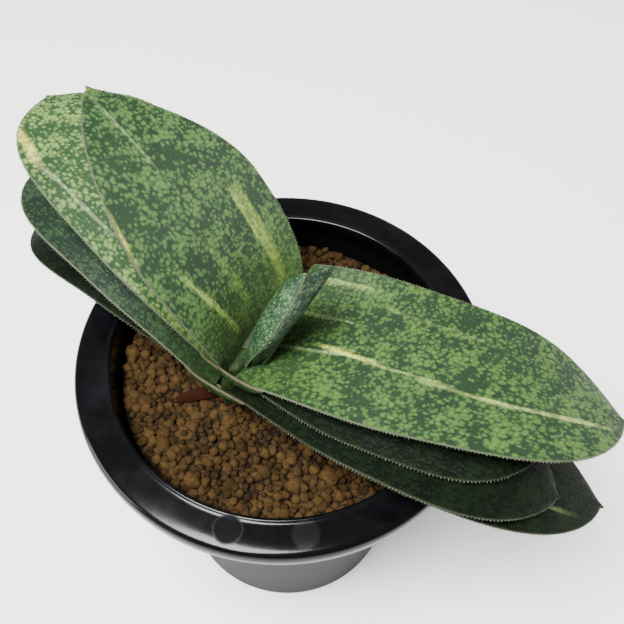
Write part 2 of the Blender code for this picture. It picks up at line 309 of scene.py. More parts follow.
def new_material(name, **values):
    """A material with a bare Principled shader, and its tree and shader."""
    material = bpy.data.materials.new(name)
    material.use_nodes = True
    shader = material.node_tree.nodes["Principled BSDF"]
    for key, value in values.items():
        shader.inputs[key.replace("_", " ")].default_value = value
    return material, material.node_tree, shader


def smooth(share):
    """Ease from 0 to 1."""
    share = np.clip(share, 0.0, 1.0)
    return share * share * (3.0 - 2.0 * share)


def unit(degrees):
    """The level direction at a compass angle."""
    return math.cos(math.radians(degrees)), math.sin(math.radians(degrees))


def make_piece(name, bm, material):
    """Turn a bmesh drawn in millimetres into a piece, or a cutter if it has no material."""
    bmesh.ops.scale(bm, vec=(MM, MM, MM), verts=bm.verts)
    bmesh.ops.recalc_face_normals(bm, faces=bm.faces)
    mesh = bpy.data.meshes.new(name)
    bm.to_mesh(mesh)
    bm.free()
    mesh.shade_smooth()
    mesh.set_sharp_from_angle(angle=math.radians(SHARP_ANGLE))
    item = bpy.data.objects.new(name, mesh)
    bpy.context.collection.objects.link(item)
    if material is not None:
        mesh.materials.append(material)
        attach(item, BODY)
    return item


def loft(rings, bottom=None, top=None):
    """Skin rings of equal counts; an end is a point when one is given, else flat."""
    bm = bmesh.new()
    rows = [[bm.verts.new(point) for point in ring] for ring in rings]
    count = len(rows[0])
    for lower, upper in zip(rows, rows[1:]):
        for i in range(count):
            j = (i + 1) % count
            bm.faces.new((lower[i], lower[j], upper[j], upper[i]))
    for row, tip in ((rows[0], bottom), (rows[-1], top)):
        if tip is None:
            bm.faces.new(row)
            continue
        end = bm.verts.new(tip)
        for i in range(count):
            bm.faces.new((row[i], row[(i + 1) % count], end))
    return bm


# Blades


def blade_lines(blade):
    """Shares along the blade, its middle line and the side and face directions there."""
    steps = 1.0 - (1.0 - np.arange(blade.rows) / blade.rows) ** ROW_CROWDING
    along = np.concatenate([[-blade.tuck / blade.length], steps, [1.0]])
    if blade.tuck == 0.0:
        along = along[1:]
    share = np.clip(along, 0.0, 1.0)
    heading, rise, twist = (np.radians(pair[0] + (pair[1] - pair[0]) * share)
                            for pair in (blade.heading, blade.rise, blade.twist))
    direction = np.stack([np.cos(rise) * np.cos(heading), np.cos(rise) * np.sin(heading),
                          np.sin(rise)], 1)
    level = np.stack([-np.sin(heading), np.cos(heading), 0.0 * heading], 1)
    upright = np.cross(direction, level)
    side = np.cos(twist)[:, None] * level + np.sin(twist)[:, None] * upright
    face = np.cross(direction, side)
    steps = np.diff(along)[:, None] * blade.length * (direction[1:] + direction[:-1]) / 2
    middle = np.concatenate([[(0.0, 0.0, 0.0)], np.cumsum(steps, 0)])
    start = 0 if blade.tuck == 0.0 else 1
    middle += np.array(blade.foot) - middle[start]
    return along, middle, direction, side, face


def half_widths(blade, along):
    """Half the blade's width at shares of its length."""
    growth = np.sin(np.clip(along / blade.widest, 0.0, 1.0) * math.pi / 2)
    past = np.clip((along - blade.widest) / (1.0 - blade.widest), 0.0, 1.0)
    taper = (1.0 - past ** blade.bluntness) ** TAPER_POWER
    return blade.half_width * (blade.foot_share + (1.0 - blade.foot_share) * growth) * taper


def cup_angles(blade, along):
    """How steeply the blade's halves are folded up at shares of its length, in radians."""
    return np.radians(blade.cup[1] + (blade.cup[0] - blade.cup[1])
                      * (1.0 - smooth(along / UNCURL_END)))


def behind_seam(place, stack):
    """Keep a foot's point on its own side of the slit between the two stacks."""
    if stack == 0.0 or place[2] > SEAM_TOP:
        return place
    out = np.array((*unit(STEM_TURN), 0.0)) * stack
    short = SEAM - (place - np.array((*STEM_PLACE, 0.0))) @ out
    return place + out * max(short, 0.0)


def mark_skin(item, places, edges):
    """Write where each point lies on its blade, and how far from the margin."""
    item.data.attributes.new("place", "FLOAT_VECTOR", "POINT").data.foreach_set(
        "vector", np.array(places, np.float32).ravel())
    item.data.attributes.new("edge", "FLOAT", "POINT").data.foreach_set("value", edges)


def crowded(count):
    """Places between the margins at -1 and 1 that lie closer together near them."""
    return [math.sin(math.pi / 2 * (2.0 * (i + 1) / (count + 1) - 1.0)) for i in range(count)]


def make_blade(name, blade, material):
    """A fine blade over its solid, with where each point lies on it as attributes."""
    along, middle, direction, side, face = blade_lines(blade)
    width = half_widths(blade, along)
    foot, body, tip = blade.thickness
    thick = foot + (body - foot) * smooth(along / SWELL_END)
    thick += (tip - body) * np.clip((along - SWELL_END) / (1.0 - SWELL_END), 0.0, 1.0)
    cup = cup_angles(blade, along)
    stack = -1.0 if "left" in name else 1.0 if "right" in name else 0.0
    profile = [(-1.0, 0.0, 1.0)] + [(u, UPPER_SHARE, 1.0) for u in crowded(UPPER_POINTS)]
    profile += [(1.0, 0.0, 1.0)]
    profile += [(u, UPPER_SHARE - 1.0, 0.0) for u in reversed(crowded(LOWER_POINTS))]
    rings = []
    places = []
    edges = []
    for row in range(len(along) - 1):
        ring = []
        for u, share, is_upper in profile:
            place = middle[row] + width[row] * (u * math.cos(cup[row]) * side[row]
                                                + u * u * math.sin(cup[row]) * face[row])
            normal = face[row] - 2.0 * math.tan(cup[row]) * u * side[row]
            normal /= np.linalg.norm(normal)
            lift = share * thick[row] * (1.0 - EDGE_THINNING * u * u)
            ring.append(tuple(behind_seam(place + lift * normal, stack)))
            places.append((u * width[row], along[row] * blade.length, is_upper))
            edges.append((1.0 - abs(u)) * width[row])
        rings.append(ring)
    point = tuple(middle[-1] + blade.mucro * direction[-1])
    places.append((0.0, blade.length + blade.mucro, 1.0))
    edges.append(0.0)
    item = make_piece(name + "_blade", loft(rings, top=point), material)
    mark_skin(item, places, edges)
    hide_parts(name)


def margin_line(blade, hand, stack):
    """Points along one margin of a blade, from above its foot to its tip, and its outward ways."""
    along, middle, direction, side, face = blade_lines(blade)
    width = half_widths(blade, along)
    cup = cup_angles(blade, along)
    points = []
    outward = []
    for row in range(MARGIN_START, len(along) - 1):
        reach = hand * math.cos(cup[row]) * side[row] + math.sin(cup[row]) * face[row]
        points.append(behind_seam(middle[row] + width[row] * reach, stack))
        outward.append(reach + TOOTH_LEAN * direction[row])
    return points, outward


def node_group(name, inputs):
    """An empty Geometry Nodes tree with named inputs, its input node and its output node."""
    tree = bpy.data.node_groups.new(name, "GeometryNodeTree")
    tree.interface.new_socket("Geometry", in_out="INPUT", socket_type="NodeSocketGeometry")
    for label, kind in inputs.items():
        tree.interface.new_socket(label, in_out="INPUT", socket_type=kind)
    tree.interface.new_socket("Geometry", in_out="OUTPUT", socket_type="NodeSocketGeometry")
    return tree, add(tree, "NodeGroupInput"), add(tree, "NodeGroupOutput")


def grown(name, source, tree, values):
    """Run a tree on a source object with its inputs set, and keep the result as a plain mesh."""
    modifier = source.modifiers.new("growth", "NODES")
    modifier.node_group = tree
    sockets = {item.name: item.identifier for item in tree.interface.items_tree
               if item.in_out == "INPUT"}
    for label, value in values.items():
        modifier[sockets[label]] = value
    evaluated = source.evaluated_get(bpy.context.evaluated_depsgraph_get())
    mesh = bpy.data.meshes.new_from_object(evaluated)
    mesh.name = name
    bpy.data.objects.remove(source, do_unlink=True)
    item = bpy.data.objects.new(name, mesh)
    bpy.context.collection.objects.link(item)
    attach(item, BODY)
    return item


def teeth_tree():
    """Horny teeth set along a margin line, each leaning outwards."""
    tree, given, result = node_group("margin_teeth", {
        "Spacing": "NodeSocketFloat", "Tooth Radius": "NodeSocketFloat",
        "Tooth Height": "NodeSocketFloat", "Seed": "NodeSocketInt",
        "Material": "NodeSocketMaterial"})
    curve = add(tree, "GeometryNodeMeshToCurve", {"Mesh": given.outputs["Geometry"]})
    spots = add(tree, "GeometryNodeResampleCurve",
                {"Curve": curve.outputs["Curve"], "Length": given.outputs["Spacing"]},
                mode="LENGTH")
    tooth = add(tree, "GeometryNodeMeshCone",
                {"Vertices": 6, "Side Segments": 2, "Radius Top": TOOTH_POINT * MM,
                 "Radius Bottom": given.outputs["Tooth Radius"],
                 "Depth": given.outputs["Tooth Height"]})
    outward = add(tree, "GeometryNodeInputNamedAttribute", {"Name": "outward"},
                  data_type="FLOAT_VECTOR")
    turn = add(tree, "FunctionNodeAlignRotationToVector",
               {"Vector": outward.outputs["Attribute"]}, axis="Z")
    size = add(tree, "FunctionNodeRandomValue",
               {"Min": (0.5, 0.5, 0.4), "Max": (1.2, 1.2, 1.3),
                "Seed": given.outputs["Seed"]}, data_type="FLOAT_VECTOR")
    placed = add(tree, "GeometryNodeInstanceOnPoints",
                 {"Points": spots.outputs["Curve"], "Instance": tooth.outputs["Mesh"],
                  "Rotation": turn.outputs["Rotation"], "Scale": size.outputs["Value"]})
    real = add(tree, "GeometryNodeRealizeInstances", {"Geometry": placed.outputs["Instances"]})
    coated = add(tree, "GeometryNodeSetMaterial",
                 {"Geometry": real.outputs["Geometry"], "Material": given.outputs["Material"]})
    tree.links.new(coated.outputs["Geometry"], result.inputs["Geometry"])
    return tree


def make_teeth(name, blade, tree, material, seed):
    """The fine teeth along both margins of one blade."""
    stack = -1.0 if "left" in name else 1.0
    mesh = bpy.data.meshes.new("margins")
    points = []
    outward = []
    edges = []
    for hand in (-1.0, 1.0):
        line, ways = margin_line(blade, hand, stack)
        edges += [(len(points) + i, len(points) + i + 1) for i in range(len(line) - 1)]
        points += [tuple(point * MM) for point in line]
        outward += [tuple(way) for way in ways]
    mesh.from_pydata(points, edges, [])
    mesh.attributes.new("outward", "FLOAT_VECTOR", "POINT").data.foreach_set(
        "vector", np.array(outward, np.float32).ravel())
    source = bpy.data.objects.new("margins", mesh)
    bpy.context.collection.objects.link(source)
    values = {"Spacing": TOOTH_SPACING * MM, "Tooth Radius": TOOTH_RADIUS * MM,
              "Tooth Height": TOOTH_HEIGHT * MM, "Seed": seed, "Material": material}
    return grown(name + "_teeth", source, tree, values)


def make_sheath(number, material):
    """The clasping foot of one pair of blades, from margin to margin round the near side."""
    left, _ = margin_line(BLADES[f"leaf_left_{number}"], 1.0, -1.0)
    right, _ = margin_line(BLADES[f"leaf_right_{number}"], -1.0, 1.0)
    start, end = left[0], right[0]
    span = np.linalg.norm(end - start)
    away = (left[0] - left[2]) / np.linalg.norm(left[0] - left[2]) * span
    towards = (right[2] - right[0]) / np.linalg.norm(right[2] - right[0]) * span
    rings = []
    places = []
    edges = []
    for step in range(SHEATH_STEPS + 1):
        t = step / SHEATH_STEPS
        crest = ((2 * t ** 3 - 3 * t ** 2 + 1) * start + (t ** 3 - 2 * t ** 2 + t) * away
                 + (3 * t ** 2 - 2 * t ** 3) * end + (t ** 3 - t ** 2) * towards)
        along = ((6 * t ** 2 - 6 * t) * start + (3 * t ** 2 - 4 * t + 1) * away
                 + (6 * t - 6 * t ** 2) * end + (3 * t ** 2 - 2 * t) * towards)
        out = np.cross(along, (0.0, 0.0, 1.0))
        out /= np.linalg.norm(out)
        fullness = max(math.sin(math.pi * t), 0.02) ** 0.5
        ring = []
        for side in range(SHEATH_SIDES):
            turn = math.tau * side / SHEATH_SIDES
            drop = SHEATH_DEPTH * fullness * (1.0 - math.cos(turn)) / 2
            point = crest + out * SHEATH_THICK / 2 * fullness * math.sin(turn)
            ring.append(tuple(point - np.array((0.0, 0.0, drop))))
            places.append((drop, SHEATH_START + span * t, 1.0))
            edges.append(0.6 * drop)
        rings.append(ring)
    item = make_piece(f"sheath_{number}", loft(rings), material)
    mark_skin(item, places, edges)


def make_clasp(material):
    """The fleshy foot that the blades' sheaths close over, in front of the stem."""
    front = -np.array(unit(STEM_TURN + 90.0))
    thin = np.array(unit(STEM_TURN))
    middle = np.array(STEM_PLACE) + CLASP_REACH * front
    rings = []
    places = []
    for step in range(CLASP_RINGS):
        share = step / (CLASP_RINGS - 1)
        height = CLASP_FOOT + (CLASP_TOP - CLASP_FOOT) * math.sin(share * math.pi / 2)
        size = 0.03 + 0.97 * math.cos(share * math.pi / 2) ** CLASP_CROWN
        ring = []
        for side in range(SHEATH_SIDES * 2):
            turn = math.pi * side / SHEATH_SIDES
            spot = (middle + thin * CLASP_HALF_THICK * size * math.cos(turn)
                    + front * CLASP_HALF_WIDE * size * math.sin(turn))
            ring.append((*spot, height))
            places.append((4.0 * math.cos(turn), height - CLASP_FOOT, 1.0))
        rings.append(ring)
    item = make_piece("clasped_foot", loft(rings), material)
    mark_skin(item, places, [OFF_MARGIN] * len(places))


def make_fold(material):
    """The youngest blades' near side, which closes the bud from margin to margin."""
    length = YOUNG_BLADES["leaf_young_1"].length
    first, _ = margin_line(YOUNG_BLADES["leaf_young_1"], 1.0, 0.0)
    second, _ = margin_line(YOUNG_BLADES["leaf_young_2"], -1.0, 0.0)
    rings = []
    places = []
    for row in range(len(first)):
        share = (row + 0.5) / len(first)
        across = second[row] - first[row]
        along = second[min(row + 1, len(first) - 1)] - second[max(row - 1, 0)]
        out = np.cross(across, along)
        out *= -np.sign(out[1]) / np.linalg.norm(out)
        ring = []
        for side in range(SHEATH_SIDES):
            turn = math.tau * side / SHEATH_SIDES
            ring.append(tuple(first[row] + across * (0.5 + 0.5 * math.cos(turn))
                              + out * FOLD_BULGE * math.sin(math.pi * share) * math.sin(turn)))
            places.append((2.5 * math.cos(turn), length * share, 0.0))
        rings.append(ring)
    foot = (first[0] + second[0]) / 2 + FOLD_REACH * (first[0] - first[3])
    places.append((0.0, 0.0, 0.0))
    item = make_piece("young_fold", loft(rings, bottom=tuple(foot)), material)
    mark_skin(item, places, [OFF_MARGIN] * len(places))


# Soil


def granule_tree():
    """Rounded lumps of baked clay scattered over a surface, in several shapes."""
    tree, given, result = node_group("granules", {
        "Spacing": "NodeSocketFloat", "Smallest": "NodeSocketFloat",
        "Largest": "NodeSocketFloat", "Lift": "NodeSocketFloat", "Seed": "NodeSocketInt",
        "Clear Spot": "NodeSocketVector", "Clear Radius": "NodeSocketFloat",
        "Material": "NodeSocketMaterial"})
    spots = add(tree, "GeometryNodeDistributePointsOnFaces",
                {"Mesh": given.outputs["Geometry"], "Distance Min": given.outputs["Spacing"],
                 "Density Max": GRANULE_TRIES, "Seed": given.outputs["Seed"]},
                distribute_method="POISSON")
    shapes = add(tree, "GeometryNodeJoinGeometry")
    place = add(tree, "GeometryNodeInputPosition")
    away = add(tree, "ShaderNodeVectorMath",
               {0: place.outputs["Position"], 1: given.outputs["Clear Spot"]},
               operation="DISTANCE")
    close = add(tree, "FunctionNodeCompare",
                {"A": away.outputs["Value"], "B": given.outputs["Clear Radius"]},
                data_type="FLOAT", operation="LESS_THAN")
    kept = add(tree, "GeometryNodeDeleteGeometry",
               {"Geometry": spots.outputs["Points"], "Selection": close.outputs["Result"]})
    for kind in range(GRANULE_SHAPES):
        ball = add(tree, "GeometryNodeMeshIcoSphere", {"Radius": 1.0, "Subdivisions": 2})
        field = add(tree, "ShaderNodeTexNoise",
                    {"Vector": place.outputs["Position"], "W": SHAPE_STEP * kind, "Scale": 0.9,
                     "Detail": 2.0}, noise_dimensions="4D")
        push = add(tree, "ShaderNodeVectorMath",
                   {0: field.outputs["Color"], 1: (0.5, 0.5, 0.5)}, operation="SUBTRACT")
        push = add(tree, "ShaderNodeVectorMath", {0: push.outputs[0], "Scale": LUMPINESS},
                   operation="SCALE")
        lump = add(tree, "GeometryNodeSetPosition",
                   {"Geometry": ball.outputs["Mesh"], "Offset": push.outputs[0]})
        whole = add(tree, "GeometryNodeGeometryToInstance", {0: lump.outputs["Geometry"]})
        tree.links.new(whole.outputs["Instances"], shapes.inputs["Geometry"])
    which = add(tree, "FunctionNodeRandomValue",
                {4: 0, 5: GRANULE_SHAPES - 1, "Seed": given.outputs["Seed"]}, data_type="INT")
    turn = add(tree, "FunctionNodeRandomValue",
               {"Max": (math.tau, math.tau, math.tau), "Seed": given.outputs["Seed"]},
               data_type="FLOAT_VECTOR")
    rotation = add(tree, "FunctionNodeEulerToRotation", {"Euler": turn.outputs["Value"]})
    draw = add(tree, "FunctionNodeRandomValue", {"Seed": given.outputs["Seed"]},
               data_type="FLOAT")
    uneven = add(tree, "ShaderNodeMath", {0: draw.outputs[1], 1: 2.0}, operation="POWER")
    size = add(tree, "ShaderNodeMapRange",
               {"Value": uneven.outputs[0], "To Min": given.outputs["Smallest"],
                "To Max": given.outputs["Largest"]})
    raised = add(tree, "ShaderNodeCombineXYZ", {"Z": given.outputs["Lift"]})
    lifted = add(tree, "GeometryNodeSetPosition",
                 {"Geometry": kept.outputs["Geometry"], "Offset": raised.outputs["Vector"]})
    placed = add(tree, "GeometryNodeInstanceOnPoints",
                 {"Points": lifted.outputs["Geometry"], "Instance": shapes.outputs["Geometry"],
                  "Pick Instance": True, "Instance Index": which.outputs[2],
                  "Rotation": rotation.outputs["Rotation"], "Scale": size.outputs["Result"]})
    tone = add(tree, "FunctionNodeRandomValue", {"Seed": given.outputs["Seed"]},
               data_type="FLOAT")
    toned = add(tree, "GeometryNodeStoreNamedAttribute",
                {"Geometry": placed.outputs["Instances"], "Name": "tone",
                 "Value": tone.outputs[1]}, domain="INSTANCE", data_type="FLOAT")
    real = add(tree, "GeometryNodeRealizeInstances", {"Geometry": toned.outputs["Geometry"]})
    coated = add(tree, "GeometryNodeSetMaterial",
                 {"Geometry": real.outputs["Geometry"], "Material": given.outputs["Material"]})
    tree.links.new(coated.outputs["Geometry"], result.inputs["Geometry"])
    return tree


def make_granules(name, tree, material, grade, seed):
    """One grade of granules over the soil's top."""
    bm = bmesh.new()
    bmesh.ops.create_circle(bm, cap_ends=True, segments=BED_SIDES, radius=SOIL_REACH * MM)
    bmesh.ops.triangulate(bm, faces=bm.faces)
    bmesh.ops.translate(bm, vec=(0.0, 0.0, SOIL_LEVEL * MM), verts=bm.verts)
    mesh = bpy.data.meshes.new(name)
    bm.to_mesh(mesh)
    bm.free()
    source = bpy.data.objects.new(name + "_bed", mesh)
    bpy.context.collection.objects.link(source)
    values = {"Spacing": grade.spacing * MM, "Smallest": grade.smallest * MM,
              "Largest": grade.largest * MM, "Lift": grade.lift * MM, "Seed": seed,
              "Clear Spot": [length * MM for length in DRY_LEAF_BED],
              "Clear Radius": grade.clear * MM, "Material": material}
    item = grown(name, source, tree, values)
    item.data.shade_smooth()


# Pot


def softened(points, rounds=2):
    """Cut the corners of a run of profile points, which keeps its ends."""
    for _ in range(rounds):
        eased = [points[0]]
        for a, b in zip(points, points[1:]):
            eased.append((0.75 * a[0] + 0.25 * b[0], 0.75 * a[1] + 0.25 * b[1]))
            eased.append((0.25 * a[0] + 0.75 * b[0], 0.25 * a[1] + 0.75 * b[1]))
        points = eased + [points[-1]]
    return points


def pot_profile():
    """Radius and height down the inside, over the rim, down the wall and under the foot."""
    rim_top = POT_HEIGHT - RIM_DROP
    skirt_foot = POT_HEIGHT - SKIRT_DROP
    under = RIM_RADIUS - SKIRT_WALL
    ring_inside = FOOT_RADIUS - FOOT_RING
    bowl = softened([
        (PAD_RADIUS, FLOOR_TOP),
        (FOOT_RADIUS - WALL - 1.0, FLOOR_TOP),
        (FOOT_RADIUS - WALL, FLOOR_TOP + 1.0),
        (MOUTH_RADIUS - 0.1, POT_HEIGHT - 3.0),
    ], 1)
    rim = softened([
        (MOUTH_RADIUS, POT_HEIGHT - 1.2),
        (MOUTH_RADIUS + 0.1, POT_HEIGHT - 0.2),
        (MOUTH_RADIUS + 0.9, POT_HEIGHT + 0.15),
        (MOUTH_RADIUS + 1.7, POT_HEIGHT - 0.35),
        (MOUTH_RADIUS + 3.0, POT_HEIGHT - 0.4),
        (RIM_RADIUS - 2.6, rim_top + 0.05),
        (RIM_RADIUS - 0.4, rim_top - 0.6),
        (RIM_RADIUS + 0.1, rim_top - 2.9),
        (RIM_RADIUS - 0.2, skirt_foot + 0.4),
        (RIM_RADIUS - 0.5, skirt_foot),
    ])
    underside = softened([
        (under - 0.2, skirt_foot),
        (under - 0.1, rim_top - 2.9),
        (under - 1.4, rim_top - 1.6),
        (MOUTH_RADIUS + WALL + 1.2, rim_top - 1.4),
        (MOUTH_RADIUS + WALL, rim_top - 2.4),
    ], 1)
    wall_and_foot = [
        (FOOT_RADIUS, 1.2),
        (FOOT_RADIUS - 0.3, 0.4),
        (FOOT_RADIUS - 1.0, 0.0),
        (ring_inside, 0.0),
        (ring_inside - 0.8, RECESS),
        (PAD_RADIUS + 0.8, RECESS),
        (PAD_RADIUS, 0.0),
    ]
    return bowl + rim + underside + wall_and_foot


def cut(item, cutter):
    """Take a cutter's shape out of a piece for good."""
    boolean = item.modifiers.new("cut", "BOOLEAN")
    boolean.operation = "DIFFERENCE"
    boolean.solver = "EXACT"
    boolean.object = cutter
    evaluated = item.evaluated_get(bpy.context.evaluated_depsgraph_get())
    mesh = bpy.data.meshes.new_from_object(evaluated)
    item.modifiers.clear()
    item.data = mesh
    bpy.data.objects.remove(cutter, do_unlink=True)


def make_pot(material):
    """The pot, turned finely, with its drain holes and the notches in its foot."""
    rings = []
    for radius, height in pot_profile():
        ring = []
        for i in range(POT_SIDES):
            turn = math.tau * i / POT_SIDES
            ring.append((radius * math.cos(turn), radius * math.sin(turn), height))
        rings.append(ring)
    pot = make_piece("pot_shell", loft(rings), material)
    holes = bmesh.new()
    for i in range(DRAIN_HOLES):
        east, north = unit(360.0 * i / DRAIN_HOLES)
        hole = bmesh.ops.create_cone(holes, cap_ends=True, segments=DRAIN_SIDES,
                                     radius1=DRAIN_RADIUS, radius2=DRAIN_RADIUS,
                                     depth=DRAIN_CUT)
        place = (DRAIN_CIRCLE * east, DRAIN_CIRCLE * north, (RECESS + FLOOR_TOP) / 2)
        bmesh.ops.translate(holes, vec=place, verts=hole["verts"])
    middle = FOOT_RADIUS - FOOT_RING / 2
    for i in range(FOOT_NOTCHES):
        turn = math.tau * (i + 0.5) / FOOT_NOTCHES
        notch = bmesh.ops.create_cube(holes, size=1.0)
        bmesh.ops.scale(holes, vec=(FOOT_RING + NOTCH_PAST, NOTCH_WIDTH, 2.0 * RECESS),
                        verts=notch["verts"])
        bmesh.ops.translate(holes, vec=(middle, 0.0, 0.0), verts=notch["verts"])
        bmesh.ops.rotate(holes, cent=(0, 0, 0), matrix=Matrix.Rotation(turn, 3, "Z"),
                         verts=notch["verts"])
    cut(pot, make_piece("holes", holes, None))
    pot.data.set_sharp_from_angle(angle=math.radians(SHARP_ANGLE))
    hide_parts("pot")


# Materials


def streak_mask(tree, across, along, streak, fray, patches):
    """How strongly one pale stripe shows at each point of a blade."""
    first, last = sorted((streak.start, streak.end), key=lambda place: place[1])
    centre = add(tree, "ShaderNodeMapRange",
                 {0: along, 1: first[1], 2: last[1], 3: first[0], 4: last[0]}, clamp=False)
    off = add(tree, "ShaderNodeMath", {0: across, 1: centre.outputs[0]}, operation="SUBTRACT")
    off = add(tree, "ShaderNodeMath", {0: off.outputs[0], 1: fray})
    off = add(tree, "ShaderNodeMath", {0: off.outputs[0]}, operation="ABSOLUTE")
    core = add(tree, "ShaderNodeMapRange",
               {0: off.outputs[0], 1: streak.half_width, 2: 0.2 * streak.half_width,
                3: 0.0, 4: streak.strength}, interpolation_type="SMOOTHSTEP")
    begins = add(tree, "ShaderNodeMapRange", {0: along, 1: first[1] - 3.0, 2: first[1] + 5.0},
                 interpolation_type="SMOOTHSTEP")
    ends = add(tree, "ShaderNodeMapRange", {0: along, 1: last[1] + 4.0, 2: last[1] - 7.0},
               interpolation_type="SMOOTHSTEP")
    both = add(tree, "ShaderNodeMath", {0: begins.outputs[0], 1: ends.outputs[0]},
               operation="MULTIPLY")
    whole = add(tree, "ShaderNodeMath", {0: core.outputs[0], 1: both.outputs[0]},
                operation="MULTIPLY")
    return add(tree, "ShaderNodeMath", {0: whole.outputs[0], 1: patches},
               operation="MULTIPLY").outputs[0]


def raised_dots(tree, place, spacing, stretch):
    """Pale dots that crowd together in clouds: how dotted, and how near a dot's middle."""
    drift = add(tree, "ShaderNodeTexNoise", {"Vector": place, "Scale": 0.32, "Detail": 2.0})
    shift = add(tree, "ShaderNodeVectorMath",
                {0: drift.outputs["Color"], 1: (0.5, 0.5, 0.5)}, operation="SUBTRACT")
    shift = add(tree, "ShaderNodeVectorMath", {0: shift.outputs[0], "Scale": 1.3 * spacing},
                operation="SCALE")
    bent = add(tree, "ShaderNodeVectorMath", {0: place, 1: shift.outputs[0]})
    bent = add(tree, "ShaderNodeVectorMath", {0: bent.outputs[0], 1: (1.0, stretch, 1.0)},
               operation="MULTIPLY")
    cells = add(tree, "ShaderNodeTexVoronoi",
                {"Vector": bent.outputs[0], "Scale": 1.0 / spacing, "Randomness": 0.9})
    wide = add(tree, "ShaderNodeVectorMath", {0: place, 1: (0.75, 1.25, 1.0)},
               operation="MULTIPLY")
    cloud = add(tree, "ShaderNodeTexNoise",
                {"Vector": wide.outputs[0], "Scale": 0.12, "Detail": 3.0, "Roughness": 0.6})
    radius = add(tree, "ShaderNodeMapRange",
                 {0: cloud.outputs["Fac"], 1: 0.34, 2: 0.62, 3: 0.36, 4: 0.80})
    chance = add(tree, "ShaderNodeSeparateColor", {0: cells.outputs["Color"]})
    luck = add(tree, "ShaderNodeMapRange", {0: chance.outputs["Red"], 3: -0.16, 4: 0.12})
    radius = add(tree, "ShaderNodeMath", {0: radius.outputs[0], 1: luck.outputs[0]})
    inside = add(tree, "ShaderNodeMath",
                 {0: radius.outputs[0], 1: cells.outputs["Distance"]}, operation="SUBTRACT")
    dots = add(tree, "ShaderNodeMapRange", {0: inside.outputs[0], 1: -0.10, 2: 0.26},
               interpolation_type="SMOOTHSTEP")
    middles = add(tree, "ShaderNodeMapRange", {0: inside.outputs[0], 1: 0.15, 2: 0.62},
                  interpolation_type="SMOOTHSTEP")
    return dots.outputs[0], middles.outputs[0]


